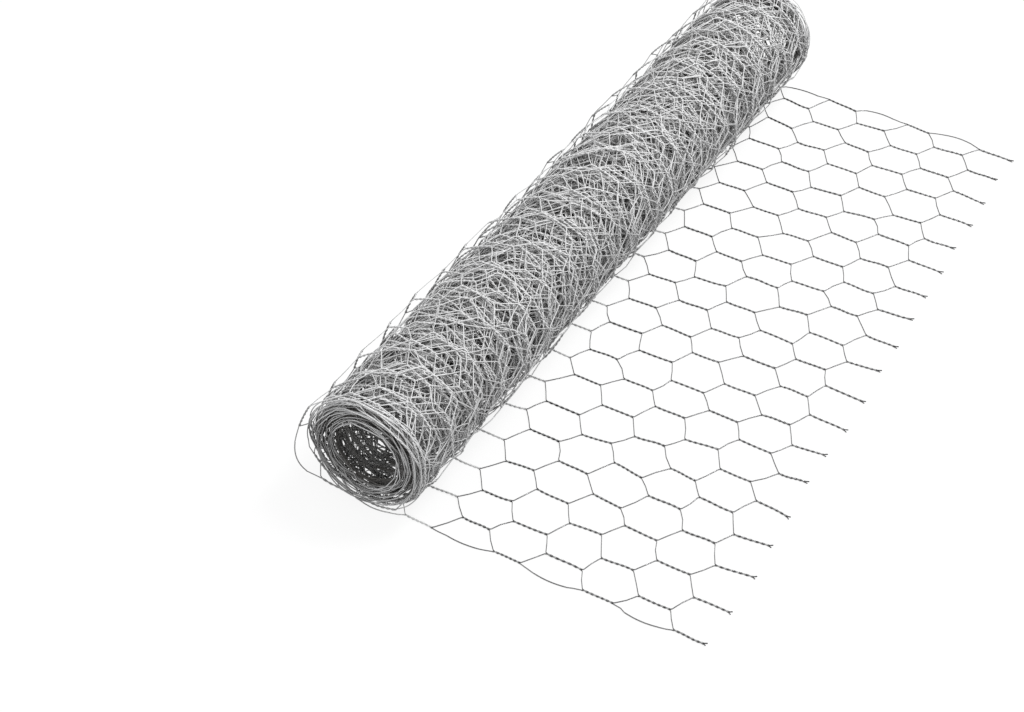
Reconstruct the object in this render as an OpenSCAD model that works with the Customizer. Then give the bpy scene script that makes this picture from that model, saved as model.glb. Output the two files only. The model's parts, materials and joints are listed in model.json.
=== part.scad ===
// Roll of hexagonal galvanised wire netting with its free end pulled out on the floor.
// X runs along the roll, the free end points to -Y, the floor is z = 0.
// The netting is one sheet: it leaves the floor as the free end, runs under the wound
// turns, stands up behind them as one loose turn and closes on them at the top.

/* [Netting] */
// Width of the netting, which is the length of the roll (mm)
net_width = 914.4; // [609.6:152.4:1219.2]
// Hexagons across the width
meshes = 18; // [8:1:30]
// Repeat of the hexagons along the sheet (mm)
mesh_pitch = 105; // [60:1:140]
// Length of each twisted pair of wires (mm)
twist_len = 36; // [12:1:50]
// Diameter of one wire (mm)
wire_d = 0.9; // [0.6:0.05:1.6]

/* [Wound turns] */
// Diameter over the wound turns (mm)
roll_d = 139; // [110:1:220]
// Diameter of the open core (mm)
bore_d = 79; // [40:1:100]
// Turns of netting between the core and the outside
turns = 42; // [6:1:60]
// Turns that share one ring on the ends
turns_per_ring = 3; // [1:1:6]
// Depth of the grooves between the rings on the ends (mm)
groove_depth = 4; // [1:0.5:10]

/* [Loose outer turn] */
// How far the loose turn lies on the floor behind the lowest line of the roll (mm)
lap_reach = 46; // [20:1:60]
// How far the loose turn stands clear of the wound turns (mm)
lap_stand = 15; // [4:1:30]
// Height at which the loose turn stands out furthest (mm)
lap_height = 54; // [40:1:90]

/* [Free end] */
// Repeats of the hexagons that lie on the floor
tail_repeats = 3; // [1:1:6]
// From the lowest line of the roll to the first whole repeat, near end (mm)
tail_lead = 42; // [20:1:90]
// Lean of the rows of hexagons against the roll (degrees)
tail_skew = 2.6; // [0:0.1:6]

/* [Hidden] */
zinc = [0.63, 0.64, 0.65];

sheet_t = 2 * wire_d;                       // two strands thick at every twist
clear = 0.3;                                // between sheet and wound turns
wound_r = roll_d / 2;
bore_r = bore_d / 2;
axis_z = sheet_t + clear + wound_r;
rings = max(1, round(turns / turns_per_ring));
ring_pitch = (wound_r - bore_r) / rings;
groove_w = 0.42 * ring_pitch;

mesh_w = net_width / meshes;                // one hexagon across
col = mesh_w / 2;                           // from one twist to the next across
diag_len = mesh_pitch / 2 - twist_len;      // slanting wires, measured along the sheet
slope = diag_len / col;
half_twist = sheet_t / 2;
skew = tan(tail_skew);

// Free end: y = 0 is the first whole repeat at the near end, the roll stands at +tail_lead.
stub = 4;                                   // wire left beyond the last twists
seam = 6;                                   // plain strip that meets the outer turn
tail_end = tail_repeats * mesh_pitch + twist_len + stub;
y_back = tail_lead + wound_r + lap_stand + sheet_t;
y_mid = (y_back - tail_end) / 2;            // centre of the whole part

// ---- wound turns -------------------------------------------------------------------

// One end of the turned profile, from the bore outwards: a comb of rings and grooves.
function comb(side) =
    let (crest = side * net_width / 2, root = side * (net_width / 2 - groove_depth))
    [for (i = [0 : rings - 1]) let (r0 = bore_r + i * ring_pitch, r1 = r0 + ring_pitch)
        each (i == rings - 1
            ? [[r0, crest], [wound_r, crest]]
            : [[r0, crest], [r1 - groove_w, crest], [r1 - groove_w, root], [r1, root]])];

function flip(list) = [for (i = [len(list) - 1 : -1 : 0]) list[i]];

module wound_turns() {
    color(zinc)
        translate([0, tail_lead - y_mid, axis_z])
            rotate([0, 90, 0])
                rotate_extrude($fn = 120)
                    polygon(concat(comb(-1), flip(comb(1))));
}

// ---- loose outer turn --------------------------------------------------------------

// Middle line of the sheet in [y, z] about the lowest line of the roll: along the floor,
// up a quarter ellipse to where it stands out furthest, and over a second one to the top.
lap_out = wound_r + lap_stand + half_twist;
seat_r = wound_r + clear + half_twist;      // the sheet lying on the wound turns
lap_top = axis_z + seat_r;

// Keeps a point of the sheet off the wound turns.
function off_roll(p) =
    let (d = p - [0, axis_z]) norm(d) < seat_r ? [0, axis_z] + d * seat_r / norm(d) : p;

lap_line = concat(
    [[0, half_twist]],
    [for (a = [0 : 9 : 90]) [lap_reach + (lap_out - lap_reach) * sin(a),
                             lap_height - (lap_height - half_twist) * cos(a)]],
    [for (a = [5 : 5 : 90]) off_roll([lap_out * cos(a),
                                      lap_height + (lap_top - lap_height) * sin(a)])]);

function unit(v) = v / norm(v);
function lap_dir(i) = unit(lap_line[min(i + 1, len(lap_line) - 1)] - lap_line[max(i - 1, 0)]);
// The two ends are cut square to the floor and to the roll.
function lap_side(i, s) = lap_line[i] + s * half_twist
    * (i == 0 ? [0, 1] : i == len(lap_line) - 1 ? [0, -1]
       : [-lap_dir(i)[1], lap_dir(i)[0]]);

module outer_turn() {
    n = len(lap_line);
    color(zinc)
        translate([-net_width / 2, tail_lead - y_mid, 0])
            rotate([90, 0, 90])
                linear_extrude(height = net_width)
                    polygon(concat([for (i = [0 : n - 1]) lap_side(i, 1)],
                                   [for (i = [n - 1 : -1 : 0]) lap_side(i, -1)]));
}

// ---- free end ----------------------------------------------------------------------

// A point of the sheet: x across, v along the sheet away from the roll.
function at(x, v) = [x, -v + skew * x];

// Outline of the opening whose upper twist ends at v0; half openings at the two selvedges.
function opening(c, v0) =
    let (x = c * col, w = wire_d / 2 / cos(atan(slope)), h = col - half_twist,
         v1 = v0 + 2 * diag_len + twist_len,
         lo = c == 0 ? half_twist : -h, hi = c == 2 * meshes ? -half_twist : h)
    concat([at(x + lo, v0 + abs(lo) * slope + w)],
           c > 0 && c < 2 * meshes ? [at(x, v0 + w)] : [],
           [at(x + hi, v0 + abs(hi) * slope + w), at(x + hi, v1 - abs(hi) * slope - w)],
           c > 0 && c < 2 * meshes ? [at(x, v1 - w)] : [],
           [at(x + lo, v1 - abs(lo) * slope - w)]);

// Outer edge at the cut end: a saw of slanting wires with a twisted pair on every second
// column, cut off just past its twist.
function saw(c) =
    let (x = c * col, v = tail_repeats * mesh_pitch, w = wire_d / 2 / cos(atan(slope)),
         l = c == 0 ? -half_twist : half_twist)
    c % 2 == 1 ? [at(x, v - diag_len + w)]
    : concat(c == 0 ? [] : [at(x - half_twist, v - half_twist * slope + w)],
             [at(x - half_twist, v + twist_len + stub), at(x + half_twist, v + twist_len + stub)],
             c == 2 * meshes ? [] : [at(x + half_twist, v - half_twist * slope + w)]);

module net_outline() {
    root = tail_lead;
    polygon(concat([for (c = [0 : 2 * meshes]) each saw(c)],
                   [[net_width + half_twist, root], [-half_twist, root]]));
}

module loose_end() {
    color(zinc)
        translate([-net_width / 2, -y_mid, 0])
            linear_extrude(height = sheet_t)
                difference() {
                    net_outline();
                    intersection() {
                        translate([-col, -tail_end])
                            square([net_width + mesh_w, tail_end + tail_lead - seam]);
                        for (c = [0 : 2 * meshes])
                            for (n = [-1 : tail_repeats - 1])
                                polygon(opening(c, twist_len + mesh_pitch * (n - c % 2 / 2)));
                    }
                }
}

wound_turns();
outer_turn();
loose_end();
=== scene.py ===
"""Looks for the roll of hexagonal wire netting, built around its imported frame.

The netting is one woven sheet. It lies flat on the floor as the free end, runs under the
wound turns, stands up behind them as one loose turn, closes on them at the top and then
winds inwards to the open core. Every wire of that sheet is swept as its own tube here:
a sheet line says where the middle of the sheet runs, a lattice says where the twists sit
on the sheet, and each stretch of the sheet becomes one mesh that rides on the frame.
All lengths are in metres.
"""

import json
import logging
import math
from dataclasses import astuple, dataclass, field
from enum import Enum
from typing import Any

import bpy
import numpy as np
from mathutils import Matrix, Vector

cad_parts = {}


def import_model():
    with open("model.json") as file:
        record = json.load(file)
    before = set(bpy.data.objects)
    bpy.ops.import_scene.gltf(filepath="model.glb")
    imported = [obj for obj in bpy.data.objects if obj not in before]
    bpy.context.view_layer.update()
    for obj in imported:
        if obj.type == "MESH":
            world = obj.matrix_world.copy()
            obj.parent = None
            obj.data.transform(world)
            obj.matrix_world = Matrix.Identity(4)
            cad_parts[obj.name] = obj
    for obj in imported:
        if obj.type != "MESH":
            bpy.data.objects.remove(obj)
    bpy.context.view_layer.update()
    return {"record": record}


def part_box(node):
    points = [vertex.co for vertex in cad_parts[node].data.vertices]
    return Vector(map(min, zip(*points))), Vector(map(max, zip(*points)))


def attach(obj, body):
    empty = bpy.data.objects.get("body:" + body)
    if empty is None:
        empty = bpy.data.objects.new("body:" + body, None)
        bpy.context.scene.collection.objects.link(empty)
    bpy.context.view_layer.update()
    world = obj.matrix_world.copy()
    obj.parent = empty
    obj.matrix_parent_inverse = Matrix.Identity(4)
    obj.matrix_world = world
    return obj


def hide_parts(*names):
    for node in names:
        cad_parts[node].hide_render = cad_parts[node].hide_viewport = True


LOG = logging.getLogger("netting_roll")
BODY = "root"
# Name of the mesh attribute that holds the painted highlight and shade along the twists.
SHADING_ATTRIBUTE = "twist_shading"

Colour = tuple[float, float, float]


# ---- the netting and the roll --------------------------------------------------------


@dataclass(frozen=True)
class Netting:
    """The woven sheet as it comes off the loom, laid flat.

    The zinc makes a wire zinc_coat times as thick, and zinc_in_twist times more in a twist.
    Twist_spread is how far a twist's strands stand apart, against wires that just touch,
    and s_bend how much of an S a crooked twist has, against a plain bend. The middle of a
    slanting wire bows by about slant_bow in y, and by slant_bow_side of that in x and off
    the sheet. Its ends lead on from the twists by slant_lead of a twist, and start in by
    slant_ease of the slant. Cut_reach is how long the first and the last wire's cut ends
    are, and cut_flare how far they spread, both against stub.
    """

    width: float
    meshes: int = 18
    pitch: float = 0.105
    twist_len: float = 0.036
    wire_d: float = 0.0009
    twist_turns: int = 3
    skew: float = math.tan(math.radians(2.6))
    flat_repeats: int = 3
    stub: float = 0.004
    zinc_coat: float = 1.2
    zinc_in_twist: float = 1.1
    twist_spread: float = 1.45
    s_bend: float = 0.6
    slant_bow: float = 0.0007
    slant_bow_side: float = 0.5
    slant_lead: float = 0.02
    slant_ease: float = 0.04
    cut_reach: tuple[float, float] = (0.6, 1.5)
    cut_flare: float = 0.4

    @property
    def column_gap(self) -> float:
        """From one column of twists to the next."""
        return self.width / self.meshes / 2

    @property
    def columns(self) -> int:
        """Columns of twists, both selvedges included."""
        return 2 * self.meshes + 1

    @property
    def wires(self) -> int:
        """Wires side by side in the sheet."""
        return self.columns + 1

    @property
    def half_row(self) -> float:
        """From one row of twists to the next, along the sheet."""
        return self.pitch / 2

    @property
    def half_sheet(self) -> float:
        """Half the sheet's thickness at a twist."""
        return self.wire_d

    @property
    def first_row_end(self) -> float:
        """Where the twists of the first row at the cut end stop, along the sheet."""
        return -self.flat_repeats * self.pitch


@dataclass(frozen=True)
class RollPlace:
    """Where the roll stands and how large it is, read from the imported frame."""

    near_x: float
    far_x: float
    axis_y: float
    axis_z: float
    wound_r: float
    bore_r: float
    back_y: float
    cut_y: float
    lap_reach: float = 0.046
    lap_height: float = 0.054
    lap_gap: float = 0.0003
    first_whole_repeat: float = 0.042

    @classmethod
    def from_frame(cls, record: dict[str, Any]) -> "RollPlace":
        """Reads the three regions of the sheet.

        Args:
            record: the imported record, which states the core's radius.

        Returns:
            The place and size of the roll.
        """
        wound_lo, wound_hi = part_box("wound_turns")
        _, turn_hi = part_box("outer_turn")
        end_lo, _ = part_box("loose_end")
        core = next(m for m in record["mounts"] if m["name"] == "core")
        return cls(
            near_x=wound_lo.x,
            far_x=wound_hi.x,
            axis_y=(wound_lo.y + wound_hi.y) / 2,
            axis_z=(wound_lo.z + wound_hi.z) / 2,
            wound_r=(wound_hi.z - wound_lo.z) / 2,
            bore_r=core["dims"]["r_mm"] / 1000,
            back_y=turn_hi.y,
            cut_y=end_lo.y,
        )

    @property
    def width(self) -> float:
        """The width of the netting, which is the length of the roll."""
        return self.far_x - self.near_x

    @property
    def centre(self) -> tuple[float, float, float]:
        """The middle of the wound turns."""
        return ((self.near_x + self.far_x) / 2, self.axis_y, self.axis_z)

    @property
    def zero_y(self) -> float:
        """The y of the first whole repeat at the near end, where the sheet's length starts."""
        return self.axis_y - self.first_whole_repeat


@dataclass
class SheetLine:
    """The middle line of the sheet, seen along the roll, by length along the sheet.

    The outermost turn springs open by spring, and the turns within it by less and less,
    as spring_turns says.
    """

    place: RollPlace
    half: float
    turns: int = 42
    steps_per_turn: int = 120
    floor_points: int = 90
    lap_points: int = 60
    past_cut: float = 0.02
    spring: float = 0.0015
    spring_turns: float = 2.0

    def __post_init__(self) -> None:
        """Lays the line: floor, loose turn, wound turns."""
        unwound = np.vstack([self._floor(), self._loose_turn()])
        self.line = np.vstack([unwound, self._wound()])
        length = np.r_[0, np.cumsum(np.hypot(*np.diff(self.line, axis=0).T))]
        self.length = length + (self.line[0, 0] - self.place.zero_y)
        tangent = np.gradient(self.line, axis=0)
        tangent /= np.linalg.norm(tangent, axis=1, keepdims=True)
        self.normal = np.c_[-tangent[:, 1], tangent[:, 0]]
        self.wound_from = self.length[len(unwound)]

    def _floor(self) -> np.ndarray:
        """The stretch that lies on the floor, from past the cut end to behind the roll."""
        start = self.place.cut_y - self.past_cut
        stop = self.place.axis_y + self.place.lap_reach
        y = np.linspace(start, stop, self.floor_points)[:-1]
        return np.c_[y, np.full(len(y), self.half)]

    def _loose_turn(self) -> np.ndarray:
        """Up behind the roll and over to its top: two quarter ellipses, kept off the turns."""
        p = self.place
        out = p.back_y - self.half - p.axis_y
        seat = p.wound_r + p.lap_gap + self.half
        a = np.linspace(0, math.pi / 2, self.lap_points)[:-1]
        low = np.c_[
            p.lap_reach + (out - p.lap_reach) * np.sin(a),
            p.lap_height - (p.lap_height - self.half) * np.cos(a),
        ]
        top = p.axis_z + seat
        high = np.c_[out * np.cos(a), p.lap_height + (top - p.lap_height) * np.sin(a)]
        line = np.vstack([low, high]) - [0, p.axis_z]
        r = np.linalg.norm(line, axis=1, keepdims=True)
        return line * np.maximum(1, seat / r) + [p.axis_y, p.axis_z]

    def _wound(self) -> np.ndarray:
        """The wound turns: a spiral that is loose outside and tight towards the core."""
        p = self.place
        t = np.linspace(0, self.turns, self.turns * self.steps_per_turn)
        outer = p.wound_r + p.lap_gap + self.half
        inner = p.bore_r + self.half
        slack = self.spring * (1 - np.exp(-t / self.spring_turns))
        r = outer - slack - (outer - inner - self.spring) * t / self.turns
        angle = math.pi / 2 + 2 * math.pi * t
        return np.c_[p.axis_y + r * np.cos(angle), p.axis_z + r * np.sin(angle)]

    def at(self, length: np.ndarray) -> tuple[np.ndarray, np.ndarray]:
        """Points and normals of the sheet's middle.

        Args:
            length: lengths along the sheet, in any shape.

        Returns:
            Points (y, z) and unit normals (y, z), which point up on the floor and to the
            axis on the roll.
        """
        point = [np.interp(length, self.length, self.line[:, k]) for k in (0, 1)]
        normal = [np.interp(length, self.length, self.normal[:, k]) for k in (0, 1)]
        return np.stack(point, -1), np.stack(normal, -1)


# ---- shape of the wires --------------------------------------------------------------


class Detail(Enum):
    """How finely a stretch's wires are swept: steps per twist, points per slant, sides."""

    FINE = (24, 3, 4)
    FULL = (18, 3, 3)
    LIGHT = (12, 1, 3)
    PLAIN = (3, 1, 3)

    def __init__(self, steps: int, slant_points: int, sides: int) -> None:
        """Names the three numbers."""
        self.steps = steps
        self.slant_points = slant_points
        self.sides = sides


@dataclass(frozen=True)
class Looseness:
    """How far the wires stray from a perfect sheet at one row of twists.

    Node, slide and lift move a twist's ends across, along and off the sheet, and crook
    bends the twist. Swell, shift and warp are slow waves of the whole sheet: off it, along
    the roll by whole rows, and along the roll from place to place. Straight pulls a twist
    towards the straight line between its ends, from 0 to 1, and bow is how far the
    selvedge wires bulge out.
    """

    node: float
    slide: float
    lift: float
    crook: float
    swell: float
    shift: float
    warp: float
    straight: float
    bow: float

    @classmethod
    def along(cls, rows: np.ndarray, stops: list[tuple[int, "Looseness"]]) -> "Looseness":
        """Looseness for many rows, eased from stop to stop.

        Args:
            rows: the rows, counted from the cut end.
            stops: rows with the looseness there, in order.

        Returns:
            A looseness whose values are arrays, one value for each row.
        """
        at = [row for row, _ in stops]
        columns = zip(*(astuple(loose) for _, loose in stops))
        return cls(*(np.interp(rows, at, column) for column in columns))


class Ripple:
    """A smooth random field over a sheet: a sum of sines, with a standard deviation of 1."""

    count = 9
    shortest = 0.6
    longest = 1.8

    def __init__(
        self, rng: np.random.Generator, span: float, spread: float = math.pi
    ) -> None:
        """Draws the waves.

        Args:
            rng: the sheet's random numbers.
            span: the typical length of one wave; each is shortest to longest times it.
            spread: how far the waves turn from running along the sheet, at most.
        """
        turn = math.pi / 2 + rng.uniform(-spread, spread, self.count)
        size = 2 * math.pi / (span * rng.uniform(self.shortest, self.longest, self.count))
        self.across, self.along = size * np.cos(turn), size * np.sin(turn)
        self.phase = rng.uniform(0, 2 * math.pi, self.count)
        self.scale = math.sqrt(2 / self.count)

    def __call__(self, x: np.ndarray, q: np.ndarray) -> np.ndarray:
        """The field's height at x across and q along the sheet."""
        angle = x[..., None] * self.across + q[..., None] * self.along + self.phase
        return np.sin(angle).sum(-1) * self.scale


@dataclass(frozen=True)
class Stretch:
    """One stretch of the sheet, from one row of twists to another, as one mesh."""

    name: str
    first_row: int
    last_row: int
    detail: Detail
    replaces: str
    finish: str
    cut_start: bool = False
    ends_sheet: bool = False


@dataclass
class WireWeaver:
    """Turns stretches of the sheet into meshes, one swept tube for each wire.

    Its stops say how loose the sheet is at some rows, and are set before it builds. The
    widest stray and bend are in standard deviations, and a span is a wave's length.
    """

    net: Netting
    place: RollPlace
    line: SheetLine
    stops: list[tuple[int, Looseness]] = field(default_factory=list)
    seed: int = 20
    widest_stray: float = 2.2
    widest_bend: float = 2.0
    bow_range: tuple[float, float] = (0.5, 1.5)
    swell_span: float = 0.16
    drift_span: float = 0.30
    warp_span: float = 0.22
    warp_spread: float = 1.0

    def __post_init__(self) -> None:
        """Draws every random number of the sheet, in one fixed order."""
        rng = np.random.default_rng(self.seed)
        rows = self.last_row() + 2
        shape = (rows, self.net.columns, 2, 3)
        wide, bend = self.widest_stray, self.widest_bend
        self.strays = rng.normal(0, 1, shape).clip(-wide, wide)
        self.crooks = rng.normal(0, 1, shape[:2]).clip(-bend, bend)
        self.bows = rng.uniform(*self.bow_range, (2, rows))
        self.swell = Ripple(rng, self.swell_span)
        self.drift = Ripple(rng, self.drift_span, spread=0.0)
        self.warp = Ripple(rng, self.warp_span, self.warp_spread)
        self.bends = rng.normal(0, 1, shape[:2]).clip(-bend, bend)
        self.bellies = rng.normal(0, 1, (rows, self.net.wires, 2)).clip(-bend, bend)

    def last_row(self) -> int:
        """The last row of twists before the core."""
        span = self.line.length[-1] - self.net.first_row_end - self.net.skew * self.net.width
        return int(span / self.net.half_row) - 1

    def row_at(self, length: float) -> int:
        """The row of twists nearest to a length along the sheet."""
        return round((length - self.net.first_row_end) / self.net.half_row)

    def _twists(self, s: Stretch) -> tuple[np.ndarray, np.ndarray, np.ndarray]:
        """Lays every wire's twists on the sheet.

        Args:
            s: the stretch to lay.

        Returns:
            Middle lines (wire, row, point, 3) in space, the sheet's normals there, and
            which side of its column each wire enters from.
        """
        net = self.net
        rows = np.arange(s.first_row, s.last_row + 1)
        loose = Looseness.along(rows, self.stops)
        wire, row = np.meshgrid(np.arange(net.wires), rows, indexing="ij")
        own = (wire - row) % 2 == 0
        column = np.where(own, wire, wire - 1)
        side = np.where(own, -1.0, 1.0)
        edge = (column < 0) | (column >= net.columns)
        inner = column.clip(0, net.columns - 1)
        t = np.linspace(0, 1, s.detail.steps + 1)
        reach = np.stack([loose.node, loose.slide, loose.lift], -1)
        ends = self.strays[row, inner] * reach[:, None]
        x = inner * net.column_gap
        start = net.first_row_end + row * net.half_row - net.twist_len
        crook = self.crooks[row, inner][..., None] * np.sin(math.pi * t)
        crook += net.s_bend * self.bends[row, inner][..., None] * np.sin(2 * math.pi * t)
        crook *= loose.crook[:, None]
        across = x[..., None] + ends[..., 0, 0, None] * (1 - t) + ends[..., 1, 0, None] * t + crook
        along = (
            start[..., None]
            + ends[..., 0, 1, None] * (1 - t)
            + (net.twist_len + ends[..., 1, 1, None]) * t
        )
        lift = ends[..., 0, 2, None] * (1 - t) + ends[..., 1, 2, None] * t
        gap = net.pitch - net.twist_len
        arc = np.cos(math.pi * (t - 0.5) * net.twist_len / gap)
        bulge = self.bows[(inner > 0).astype(int), row] * loose.bow
        edge_x = x[..., None] + np.where(inner > 0, 1, -1)[..., None] * bulge[..., None] * arc
        edge_w = start[..., None] + net.twist_len * t
        across = np.where(edge[..., None], edge_x, across)
        along = np.where(edge[..., None], edge_w, along)
        lift = np.where(edge[..., None], 0.0, lift)
        side = np.where(edge, 0.0, side)
        straight = loose.straight[:, None, None] * ~edge[..., None, None]
        return self._place(across, along, lift, loose, straight) + (side,)

    def _place(
        self,
        across: np.ndarray,
        along: np.ndarray,
        lift: np.ndarray,
        loose: Looseness,
        straight: np.ndarray,
    ) -> tuple[np.ndarray, np.ndarray]:
        """Carries points of the flat sheet to where the sheet runs.

        Args:
            across: x from the near selvedge.
            along: length along the lattice.
            lift: height off the sheet.
            loose: how far the stretch strays.
            straight: how far each twist is straightened, from 0 to 1.

        Returns:
            Points and normals, each (..., 3).
        """
        net = self.net
        q = along + net.skew * across
        lift = lift + loose.swell[:, None] * self.swell(across, q)
        hold = np.sqrt(np.sin(math.pi * across.clip(0, net.width) / net.width))
        shift = loose.shift[:, None] * self.drift(across * 0, q)
        shift += loose.warp[:, None] * hold * self.warp(across, q)
        point, normal = self.line.at(q)
        yz = point + normal * lift[..., None]
        places = np.concatenate([(self.place.near_x + across + shift)[..., None], yz], -1)
        normals = np.concatenate([np.zeros(q.shape + (1,)), normal], -1)
        t = np.linspace(0, 1, across.shape[-1])[:, None]
        chord = places[..., :1, :] * (1 - t) + places[..., -1:, :] * t
        return places + (chord - places) * straight, normals

    def _slants(self, s: Stretch, middle: np.ndarray, normals: np.ndarray) -> np.ndarray:
        """The slanting wires between one row of twists and the next.

        Args:
            s: the stretch to lay.
            middle: the strands of its twists (wire, row, point, 3).
            normals: the sheet's normals there.

        Returns:
            Points (wire, row, point, 3), with one row fewer than the twists.
        """
        net = self.net
        here, ahead = middle[:, :-1], middle[:, 1:]
        leave, arrive = here[:, :, -1], ahead[:, :, 0]
        if s.detail.slant_points == 1:
            return ((leave + arrive) / 2)[:, :, None]
        ease = (arrive - leave) * net.slant_ease
        first = leave + (leave - here[:, :, 0]) * net.slant_lead + ease
        last = arrive - (ahead[:, :, -1] - arrive) * net.slant_lead - ease
        belly = self.bellies[s.first_row:s.last_row].transpose(1, 0, 2) * net.slant_bow
        mid = (first + last) / 2
        mid[..., 0] += belly[..., 0] * net.slant_bow_side
        mid += normals[:, :-1, -1] * belly[..., :1] * net.slant_bow_side
        mid[..., 1] += belly[..., 1]
        return np.stack([first, mid, last], 2)

    def _wires(self, s: Stretch) -> tuple[np.ndarray, np.ndarray, np.ndarray]:
        """The middle line of every wire of a stretch.

        Args:
            s: the stretch to lay.

        Returns:
            Points and reference normals, each (wire, point, 3), and the painted light of the
            twists (wire, point): 1 for a painted highlight where one strand lies over the other,
            -1 for painted shade where the two lie side by side, and 0 outside the twists.
        """
        middle, normals, side = self._twists(s)
        turns = 0 if s.detail is Detail.PLAIN else self.net.twist_turns
        phase = 2 * math.pi * turns * np.linspace(0, 1, s.detail.steps + 1)
        r = self.net.wire_d / 2 * self.net.twist_spread * side[..., None]
        # Painted light along each twist: 1 for a highlight where one strand lies over the other,
        # -1 for shade where the two lie side by side.
        twist_shading = -np.cos(2 * phase) * np.abs(side[..., None]) * (turns > 0)
        middle[..., 0] += r * np.cos(phase)
        middle += (r * np.sin(phase))[..., None] * normals
        slant = self._slants(s, middle, normals)
        slant_up = np.repeat(normals[:, :-1, -1:], s.detail.slant_points, 2)
        tail = s.detail.steps + 1 if s.ends_sheet else 2

        def thread(twists: np.ndarray, between: np.ndarray) -> np.ndarray:
            """Strings each wire's twists and slants together, in order along the sheet."""
            body = np.concatenate([twists[:, :-1], between], 2)
            body = body.reshape(len(body), -1, *body.shape[3:])
            return np.concatenate([body, twists[:, -1, :tail]], 1)

        points = thread(middle, slant)
        ups = thread(normals, slant_up)
        twist_shading = thread(twist_shading, np.zeros(slant.shape[:3]))
        if s.cut_start:
            points, ups = self._cut(points, ups)
            twist_shading = np.c_[twist_shading[:, 0], twist_shading]
        return points, ups, twist_shading

    def _cut(self, points: np.ndarray, ups: np.ndarray) -> tuple[np.ndarray, np.ndarray]:
        """Adds the short ends that the cutters left in front of the first twists.

        Args:
            points: the wires' middle lines (wire, point, 3).
            ups: their reference normals.

        Returns:
            Both, one point longer at the front.
        """
        step = points[:, 0] - points[:, 1]
        step /= np.linalg.norm(step, axis=1, keepdims=True)
        reach = self.net.stub * np.linspace(*self.net.cut_reach, len(points))[:, None]
        end = points[:, 0] + step * reach
        apart = np.where(np.arange(len(points)) % 2 == 0, -1, 1)
        end[:, 0] += apart * self.net.stub * self.net.cut_flare
        longer = np.concatenate([end[:, None], points], 1)
        return longer, np.concatenate([ups[:, :1], ups], 1)

    def build(self, s: Stretch) -> bpy.types.Object:
        """Sweeps a stretch's wires into one mesh.

        Args:
            s: the stretch to build.

        Returns:
            The linked object.
        """
        points, ups, twist_shading = self._wires(s)
        twist = np.full(s.detail.steps + 1, self.net.zinc_in_twist)
        repeat = np.r_[twist, np.ones(s.detail.slant_points)]
        thick = np.resize(repeat, points.shape[1] - s.cut_start)
        if s.cut_start:
            thick = np.r_[1.0, thick]
        sides = s.detail.sides
        fair = math.pi / sides / math.sin(math.pi / sides)
        radius = self.net.wire_d / 2 * self.net.zinc_coat * fair * thick
        points[..., 2] = np.maximum(points[..., 2], radius)
        return TubeSet(points, ups, radius, twist_shading, sides).to_object(s.name)


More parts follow.
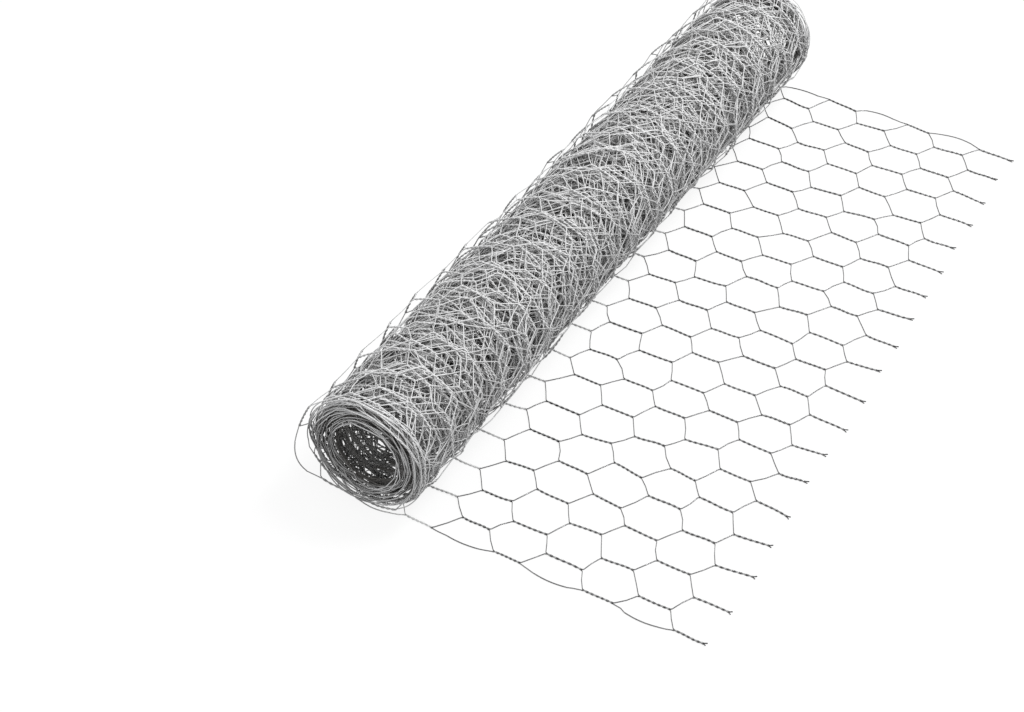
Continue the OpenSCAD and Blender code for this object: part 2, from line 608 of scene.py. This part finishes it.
@dataclass
class TubeSet:
    """Many tubes with the same number of points, swept at once.

    On the map, strip_margin is the free part of a tube's strip on either side, and
    end_margin the room at either end of it, where the caps lie.
    """

    points: np.ndarray
    ups: np.ndarray
    radius: np.ndarray
    twist_shading: np.ndarray
    sides: int
    strip_margin: float = 0.1
    end_margin: float = 0.002
    cap_size: float = 0.0005

    def _rings(self) -> np.ndarray:
        """The corners of every ring (tube, point, side, 3)."""
        tangent = np.gradient(self.points, axis=1)
        tangent /= np.linalg.norm(tangent, axis=-1, keepdims=True)
        across = np.cross(tangent, self.ups)
        across /= np.linalg.norm(across, axis=-1, keepdims=True)
        up = np.cross(across, tangent)
        a = 2 * math.pi * (np.arange(self.sides) + 0.5) / self.sides
        ring = across[:, :, None] * np.cos(a)[:, None] + up[:, :, None] * np.sin(a)[:, None]
        return self.points[:, :, None] + ring * self.radius[:, None, None]

    def to_object(self, name: str) -> bpy.types.Object:
        """Builds the mesh, with its painted twist highlights and shade, and a map that lays
        each tube out as one strip.

        Args:
            name: the name of the object and its mesh.

        Returns:
            The linked object.
        """
        rings = self._rings()
        tubes, length, sides = rings.shape[:3]
        index = np.arange(tubes * length * sides).reshape(tubes, length, sides)
        nxt = np.roll(index, -1, 2)
        quads = np.stack([index[:, :-1], nxt[:, :-1], nxt[:, 1:], index[:, 1:]], -1)
        quads = quads.reshape(-1, 4)
        caps = np.concatenate([index[:, 0, ::-1], index[:, -1]])
        corners = np.concatenate([quads.ravel(), caps.ravel()])
        sizes = np.r_[np.full(len(quads), 4), np.full(len(caps), sides)]
        mesh = bpy.data.meshes.new(name)
        mesh.vertices.add(rings.size // 3)
        mesh.vertices.foreach_set("co", rings.astype(np.float32).ravel())
        mesh.loops.add(len(corners))
        mesh.loops.foreach_set("vertex_index", corners.astype(np.int32))
        mesh.polygons.add(len(sizes))
        starts = np.r_[0, np.cumsum(sizes)[:-1]]
        mesh.polygons.foreach_set("loop_start", starts.astype(np.int32))
        mesh.update(calc_edges=True)
        mesh.validate()
        smooth = np.r_[np.ones(len(quads), bool), np.zeros(len(caps), bool)]
        mesh.polygons.foreach_set("use_smooth", smooth)
        self._map(mesh)
        # Stores the painted highlight and shade of the twists on the mesh.
        twist_shading = mesh.attributes.new(SHADING_ATTRIBUTE, "FLOAT", "POINT")
        twist_shading.data.foreach_set("value", np.repeat(self.twist_shading, sides).astype(np.float32))
        obj = bpy.data.objects.new(name, mesh)
        bpy.context.scene.collection.objects.link(obj)
        return obj

    def _map(self, mesh: bpy.types.Mesh) -> None:
        """Lays each tube out as one strip of the unit square, its caps at the strip's ends.

        Args:
            mesh: the mesh, its side faces tube by tube, then all first caps and all last.
        """
        tubes, length = self.points.shape[:2]
        sides, side_room, end_room = self.sides, self.strip_margin, self.end_margin
        strip = (np.arange(tubes)[:, None, None, None] + side_room) / tubes
        v = np.array([0, 1, 1, 0]) + np.arange(sides)[:, None]
        v = strip + (1 - 2 * side_room) / tubes * v / sides
        u = (np.arange(length - 1)[:, None, None] + np.array([0, 0, 1, 1])) / (length - 1)
        u = end_room + (1 - 2 * end_room) * u
        shape = (tubes, length - 1, sides, 4)
        uv = np.stack([np.broadcast_to(u, shape), np.broadcast_to(v, shape)], -1)
        end = np.repeat(np.array([end_room / 2, 1 - end_room / 2]), tubes * sides)
        row = np.tile(np.repeat((np.arange(tubes) + 0.5) / tubes, sides), 2)
        spin = np.tile(2 * math.pi * np.arange(sides) / sides, 2 * tubes)
        cap_u = end + self.cap_size * np.cos(spin)
        cap = np.c_[cap_u, row + side_room / tubes * np.sin(spin)]
        both = np.concatenate([uv.reshape(-1, 2), cap])
        layer = mesh.uv_layers.new(name="OFBake")
        layer.uv.foreach_set("vector", both.astype(np.float32).ravel())


# ---- finishes ------------------------------------------------------------------------


class Val:
    """A shader value: wraps a socket, and arithmetic on it adds Math nodes."""

    def __init__(self, paint: "Paint", socket: bpy.types.NodeSocket) -> None:
        """Keeps the socket and the material it belongs to."""
        self.paint = paint
        self.socket = socket

    def _math(self, operation: str, first: Any, second: Any) -> "Val":
        """One Math node on two values."""
        settings = {"operation": operation}
        return self.paint.node("ShaderNodeMath", settings, {0: first, 1: second})

    def __add__(self, other: Any) -> "Val":
        """self + other."""
        return self._math("ADD", self, other)

    __radd__ = __add__

    def __sub__(self, other: Any) -> "Val":
        """self - other."""
        return self._math("SUBTRACT", self, other)

    def __rsub__(self, other: Any) -> "Val":
        """other - self."""
        return self._math("SUBTRACT", other, self)

    def __mul__(self, other: Any) -> "Val":
        """self * other."""
        return self._math("MULTIPLY", self, other)

    __rmul__ = __mul__

    def larger(self, other: Any) -> "Val":
        """The larger of two values."""
        return self._math("MAXIMUM", self, other)

    def size(self) -> "Val":
        """The value without its sign."""
        return self._math("ABSOLUTE", self, 0.0)

    def clamp(self) -> "Val":
        """The value kept between 0 and 1."""
        return self._math("MINIMUM", self._math("MAXIMUM", self, 0.0), 1.0)


class Paint:
    """Builds one node material around a Principled shader."""

    def __init__(self, name: str) -> None:
        """Starts an empty material with its shader."""
        self.material = bpy.data.materials.new(name)
        self.material.use_nodes = True
        self.tree = self.material.node_tree
        self.shader = self.tree.nodes["Principled BSDF"]

    def node(
        self,
        kind: str,
        settings: dict[str, Any],
        inputs: dict[Any, Any],
        output: int | str = 0,
    ) -> Val:
        """Adds one node.

        Args:
            kind: the node's type.
            settings: its properties, set before anything is linked.
            inputs: values or links by input name or number.
            output: the output that is wanted, by name or number.

        Returns:
            That output.
        """
        made = self.tree.nodes.new(kind)
        for key, value in settings.items():
            setattr(made, key, value)
        for key, value in inputs.items():
            self._feed(made.inputs[key], value)
        return Val(self, made.outputs[output])

    def vector(self, operation: str, inputs: dict[Any, Any], output: str = "Vector") -> Val:
        """Adds one Vector Math node."""
        return self.node("ShaderNodeVectorMath", {"operation": operation}, inputs, output)

    def _feed(self, socket: bpy.types.NodeSocket, value: Any) -> None:
        """Links a Val to a socket, or sets a plain value on it."""
        if isinstance(value, Val):
            self.tree.links.new(value.socket, socket)
        else:
            socket.default_value = value

    def set(self, **sockets: Any) -> None:
        """Sets or links sockets of the shader; an underscore in a name is a space."""
        for name, value in sockets.items():
            self._feed(self.shader.inputs[name.replace("_", " ")], value)

    def mix_colour(self, factor: Any, low: Any, high: Any) -> Val:
        """A colour between two, links or plain.

        Args:
            factor: 0 gives the low colour and 1 the high one.
            low: the first colour.
            high: the second colour.

        Returns:
            The mixed colour. A Mix node's colours are its inputs 6 and 7 and its output 2.
        """
        first, second = (c if isinstance(c, Val) else (*c, 1.0) for c in (low, high))
        settings = {"data_type": "RGBA", "clamp_factor": True}
        return self.node("ShaderNodeMix", settings, {0: factor, 6: first, 7: second}, 2)


@dataclass(frozen=True)
class PaintedShade:
    """Where a roll's wires get painted shade: inside it, just inside its ends and along its bore,
    and on its back and underside.
    """

    axis: tuple[float, float, float]
    outside: float
    half_width: float
    bright_side: tuple[float, float, float] = (0.0, -0.766, 0.643)
    fade_r: float = 0.030
    bore_depth: float = 0.024
    skin: float = 0.006
    end_zone: float = 0.032
    proud: float = 0.006
    fade_x: float = 0.005
    turned: float = -0.6
    fade_turned: float = 0.3

    def masks(self, paint: Paint, place: Val) -> tuple[Val, Val, Val]:
        """Three masks over the roll.

        Args:
            paint: the material that uses them.
            place: the place on the roll.

        Returns:
            Masks of painted shade: 1 well inside the roll and 0 on its outside, 1 just inside
            its ends and along its bore, where little light gets in, and 1 on its lit side and 0
            on its back and underside, where shade is painted. The first two are 0 on edges that
            stand proud of the ends.
        """
        from_axis = paint.vector("SUBTRACT", {0: place, 1: self.axis})
        flat = paint.vector("MULTIPLY", {0: from_axis, 1: (0.0, 1.0, 1.0)})
        radius = paint.vector("LENGTH", {0: flat}, "Value")
        x = paint.node("ShaderNodeSeparateXYZ", {}, {0: from_axis}, "X")
        inboard = self.half_width - x.size()
        depth = self.outside - radius
        # Painted shade that grows inwards from the roll's outside, and gathers just inside its
        # ends and in its bore.
        under = (depth * (1 / self.fade_r)).clamp()
        covered = ((depth - self.skin) * (1 / self.skin)).clamp()
        near_end = (1 - inboard * (1 / self.end_zone)).clamp() * covered
        in_bore = ((depth - self.bore_depth) * (1 / self.skin)).clamp()
        behind = ((inboard + self.proud) * (1 / self.fade_x)).clamp()
        # Painted shade on the back and underside, away from the lit side.
        out = paint.vector("NORMALIZE", {0: flat})
        facing = paint.vector("DOT_PRODUCT", {0: out, 1: self.bright_side}, "Value")
        bright = ((facing - self.turned) * (1 / self.fade_turned)).clamp()
        return under * behind, near_end.larger(in_bore) * behind, bright


@dataclass(frozen=True)
class GalvanisedWire:
    """Drawn steel wire dipped in zinc: matt grey, with spangle, grain and a pale bloom.

    Given a strength over 0, a twist's strands get a painted highlight where one lies over
    the other and painted shade where they lie side by side.
    """

    name: str
    dark: Colour
    light: Colour
    metallic: float
    rough: float
    painted_shade: PaintedShade | None = None
    # Painted shade colours: well inside the roll, just inside its ends and along its bore, and on
    # its back and underside.
    deep_shade: Colour = (0.21, 0.209, 0.207)
    shade: Colour = (0.055, 0.052, 0.049)
    back_shade: Colour = (0.20, 0.20, 0.20)
    # Painted shade where a twist's strands lie side by side, and a painted highlight where one
    # lies over the other.
    crevice_shade: Colour = (0.018, 0.018, 0.019)
    painted_glint: Colour = (0.34, 0.341, 0.343)
    twist_shading: float = 0.0
    edge: float = 1.0
    spangle_per_m: float = 260.0
    cloud_per_m: float = 26.0
    cloud_detail: float = 4.0
    grain_per_m: float = 2400.0
    grain_detail: float = 2.0
    base_tone: float = 0.3
    spangle_tone: float = 0.3
    cloud_tone: float = 0.9
    grain_tone: float = 0.1
    grain_rough: float = 0.08
    cloud_rough: float = 0.18
    spangle_rough: float = 0.06
    bump_strength: float = 0.08
    bump_height: float = 0.00006

    def build(self) -> bpy.types.Material:
        """Makes the material.

        Returns:
            The node material.
        """
        paint = Paint(self.name)
        place = paint.node("ShaderNodeTexCoord", {}, {}, "Object")
        cloud = self._noise(paint, place, self.cloud_per_m, self.cloud_detail)
        cells = {"Vector": place, "Scale": self.spangle_per_m}
        spangle = paint.node("ShaderNodeTexVoronoi", {}, cells, "Color")
        cell = paint.node("ShaderNodeSeparateColor", {}, {0: spangle})
        grain = self._noise(paint, place, self.grain_per_m, self.grain_detail)
        tone = self.spangle_tone * cell + self.cloud_tone * (cloud - 0.5)
        tone = (tone + self.grain_tone * grain + self.base_tone).clamp()
        rough = self.rough + self.grain_rough * (grain - 0.5)
        rough = rough + self.cloud_rough * (cloud - 0.5) - self.spangle_rough * (cell - 0.5)
        bump = {"Strength": self.bump_strength, "Distance": self.bump_height, "Height": grain}
        paint.set(
            Base_Color=self._colour(paint, place, tone),
            Roughness=rough.clamp(),
            Metallic=self.metallic,
            Specular_Tint=(self.edge, self.edge, self.edge, 1.0),
            Normal=paint.node("ShaderNodeBump", {}, bump),
        )
        return paint.material

    def _noise(self, paint: Paint, place: Val, per_m: float, detail: float) -> Val:
        """Noise over the wires, at so many lumps to a metre."""
        inputs = {"Vector": place, "Scale": per_m, "Detail": detail}
        return paint.node("ShaderNodeTexNoise", {}, inputs)

    def _colour(self, paint: Paint, place: Val, tone: Val) -> Val:
        """The zinc's colour, with painted highlight and shade on the twists and painted shade over
        the roll.

        Args:
            paint: the material.
            place: the place on the roll.
            tone: 0 for the finish's dark tone and 1 for its light one.

        Returns:
            The base colour.
        """
        colour = paint.mix_colour(tone, self.dark, self.light)
        # Painted highlight where one strand of a twist lies over the other, painted shade where
        # the two lie side by side.
        if self.twist_shading > 0:
            shading_lookup = {"attribute_name": SHADING_ATTRIBUTE}
            twist_shading = self.twist_shading * paint.node("ShaderNodeAttribute", shading_lookup, {}, "Fac")
            colour = paint.mix_colour(twist_shading.clamp(), colour, self.painted_glint)
            colour = paint.mix_colour((0 - twist_shading).clamp(), colour, self.crevice_shade)
        # Painted shade over the roll: on its back and underside, well inside it, and just inside
        # its ends and bore.
        if self.painted_shade is not None:
            inside, shaded, bright = self.painted_shade.masks(paint, place)
            colour = paint.mix_colour(bright, self.back_shade, colour)
            colour = paint.mix_colour(inside, colour, self.deep_shade)
            colour = paint.mix_colour(shaded, colour, self.shade)
        return colour


@dataclass(frozen=True)
class PaleFloor:
    """A table of milk glass lit from below, so that nothing on it casts a hard shadow."""

    name: str = "studio_white"
    white: Colour = (0.06, 0.06, 0.06)
    glow: float = 0.87

    def build(self) -> bpy.types.Material:
        """Makes the material."""
        paint = Paint(self.name)
        paint.set(
            Base_Color=(*self.white, 1.0),
            Roughness=1.0,
            Specular_IOR_Level=0.0,
            Emission_Color=(1.0, 1.0, 1.0, 1.0),
            Emission_Strength=self.glow,
        )
        return paint.material


# ---- studio --------------------------------------------------------------------------


@dataclass(frozen=True)
class SoftBox:
    """A square area light that faces a point."""

    name: str
    place: tuple[float, float, float]
    size: float
    watts: float

    def build(self, aim: Vector) -> None:
        """Adds the light, turned to the aim."""
        lamp = bpy.data.lights.new(self.name, "AREA")
        lamp.shape = "SQUARE"
        lamp.size = self.size
        lamp.energy = self.watts
        obj = bpy.data.objects.new(self.name, lamp)
        obj.location = Vector(self.place)
        obj.rotation_euler = (aim - obj.location).to_track_quat("-Z", "Y").to_euler()
        bpy.context.scene.collection.objects.link(obj)


@dataclass(frozen=True)
class Studio:
    """The floor, the lights and the camera."""

    floor_size: float = 14.0
    world_light: float = 1.45
    aim: tuple[float, float, float] = (-0.1826, 0.1468, 0.0)
    distance: float = 2.5346
    azimuth: float = math.radians(30.61)
    elevation: float = math.radians(41.06)
    lens: float = 79.13
    sensor: float = 36.0
    boxes: tuple[SoftBox, ...] = (
        SoftBox("key_box", (0.94, -0.78, 2.43), 1.0, 120.0),
        SoftBox("side_box", (-1.6, 1.8, 1.8), 1.4, 20.0),
        SoftBox("end_box", (-1.9, -0.5, 0.9), 0.8, 8.0),
    )

    def build(self) -> None:
        """Makes the whole studio."""
        self._floor()
        self._world()
        aim = Vector(self.aim)
        for box in self.boxes:
            box.build(aim)
        self._camera(aim)
        bpy.context.scene.view_settings.view_transform = "Standard"

    def _floor(self) -> None:
        """Lays the floor just under the netting."""
        half = self.floor_size / 2
        mesh = bpy.data.meshes.new("studio_floor")
        corners = [(-half, -half, 0), (half, -half, 0), (half, half, 0), (-half, half, 0)]
        mesh.from_pydata(corners, [], [(0, 1, 2, 3)])
        mesh.materials.append(PaleFloor().build())
        floor = bpy.data.objects.new("studio_floor", mesh)
        bpy.context.scene.collection.objects.link(floor)

    def _world(self) -> None:
        """Fills the room with an even white light."""
        world = bpy.data.worlds.new("studio_world")
        world.use_nodes = True
        background = world.node_tree.nodes["Background"]
        background.inputs["Color"].default_value = (1.0, 1.0, 1.0, 1.0)
        background.inputs["Strength"].default_value = self.world_light
        bpy.context.scene.world = world

    def _camera(self, aim: Vector) -> None:
        """Sets the camera back from its aim along its azimuth and elevation."""
        look = Vector(
            (
                math.cos(self.elevation) * math.cos(self.azimuth),
                math.cos(self.elevation) * math.sin(self.azimuth),
                -math.sin(self.elevation),
            )
        )
        data = bpy.data.cameras.new("studio_camera")
        data.lens = self.lens
        data.sensor_width = self.sensor
        camera = bpy.data.objects.new("studio_camera", data)
        camera.location = aim - look * self.distance
        camera.rotation_euler = look.to_track_quat("-Z", "Y").to_euler()
        bpy.context.scene.collection.objects.link(camera)
        bpy.context.scene.camera = camera


# ---- the whole roll ------------------------------------------------------------------


@dataclass
class NettingRoll:
    """The roll: its stretches of netting, from the cut end to the core.

    The four kinds of looseness follow each other along the sheet: flat on the floor, the
    loose turn, the outer turns and the inner ones.
    """

    record: dict[str, Any]
    flat: Looseness = Looseness(
        node=0.0017, slide=0.0020, lift=0.0003, crook=0.0005,
        swell=0.0, shift=0.0, warp=0.0, straight=0.0, bow=0.006,
    )
    loose: Looseness = Looseness(
        node=0.0018, slide=0.0025, lift=0.0010, crook=0.0005,
        swell=0.0015, shift=0.002, warp=0.002, straight=0.5, bow=0.008,
    )
    outer: Looseness = Looseness(
        node=0.0022, slide=0.0030, lift=0.0012, crook=0.0005,
        swell=0.0020, shift=0.003, warp=0.010, straight=0.5, bow=0.006,
    )
    inner: Looseness = Looseness(
        node=0.0022, slide=0.0030, lift=0.0010, crook=0.0005,
        swell=0.0010, shift=0.004, warp=0.012, straight=0.4, bow=0.005,
    )
    rising_rows: int = 2
    settling_rows: int = 4
    outer_rows: int = 52
    full_rows: int = 38
    light_rows: int = 60
    # The same zinc painted in two tones: darker on the floor as painted shade, lighter on the roll
    # as painted light.
    floor_dark: Colour = (0.085, 0.085, 0.086)
    floor_light: Colour = (0.145, 0.145, 0.147)
    roll_dark: Colour = (0.30, 0.301, 0.302)
    roll_light: Colour = (0.405, 0.406, 0.408)

    def __post_init__(self) -> None:
        """Reads the frame and lays out the sheet."""
        self.place = RollPlace.from_frame(self.record)
        self.netting = Netting(width=self.place.width)
        self.line = SheetLine(self.place, self.netting.half_sheet)
        self.weaver = WireWeaver(self.netting, self.place, self.line)

    def stretches(self) -> list[Stretch]:
        """Splits the sheet, so that no mesh grows too heavy.

        Returns:
            The stretches in order, each ending on the row that the next starts on.
        """
        on_floor = self.weaver.row_at(0.0)
        on_top = self.weaver.row_at(self.line.wound_from)
        first = on_top + self.full_rows
        second = first + self.full_rows
        third = second + self.light_rows
        last = self.weaver.last_row()
        self.weaver.stops = [
            (on_floor, self.flat),
            (on_floor + self.rising_rows, self.loose),
            (on_top, self.loose),
            (on_top + self.settling_rows, self.outer),
            (on_top + self.outer_rows, self.inner),
        ]
        fine, full, light, plain = Detail.FINE, Detail.FULL, Detail.LIGHT, Detail.PLAIN
        end, turn, wound = "loose_end", "outer_turn", "wound_turns"
        return [
            Stretch("netting_free_end", 0, on_floor, fine, end, "floor", cut_start=True),
            Stretch("netting_loose_turn", on_floor, on_top, fine, turn, "roll"),
            Stretch("netting_outer_turns", on_top, first, full, wound, "roll"),
            Stretch("netting_next_turns", first, second, full, wound, "roll"),
            Stretch("netting_middle_turns", second, third, light, wound, "roll"),
            Stretch("netting_core_turns", third, last, plain, wound, "roll", ends_sheet=True),
        ]

    def finishes(self) -> dict[str, bpy.types.Material]:
        """The netting's zinc in two tones: darker on the floor and lighter on the roll, as
        painted shade and painted light for how light falls on each.

        Returns:
            The materials, named floor and roll for where they are.
        """
        flat = GalvanisedWire(
            name="zinc_flat",
            dark=self.floor_dark,
            light=self.floor_light,
            metallic=0.9,
            rough=0.34,
            twist_shading=0.75,
            edge=0.4,
        )
        wound = GalvanisedWire(
            name="zinc_roll",
            dark=self.roll_dark,
            light=self.roll_light,
            metallic=0.4,
            rough=0.7,
            painted_shade=PaintedShade(self.place.centre, self.place.wound_r, self.netting.width / 2),
        )
        return {"floor": flat.build(), "roll": wound.build()}

    def build(self) -> None:
        """Builds, dresses and mounts every stretch."""
        finishes = self.finishes()
        total = 0
        for s in self.stretches():
            piece = self.weaver.build(s)
            piece.data.materials.append(finishes[s.finish])
            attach(piece, BODY)
            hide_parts(s.replaces)
            count = sum(len(face.vertices) - 2 for face in piece.data.polygons)
            total += count
            LOG.info("%s: rows %d to %d, %d triangles", s.name, s.first_row, s.last_row, count)
        LOG.info("sheet %.2f m long, %d triangles in all", np.ptp(self.line.length), total)


def main() -> None:
    """Builds the roll in its studio."""
    logging.basicConfig(level=logging.INFO, format="%(name)s: %(message)s")
    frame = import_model()
    Studio().build()
    NettingRoll(frame["record"]).build()


if __name__ == "__main__":
    main()
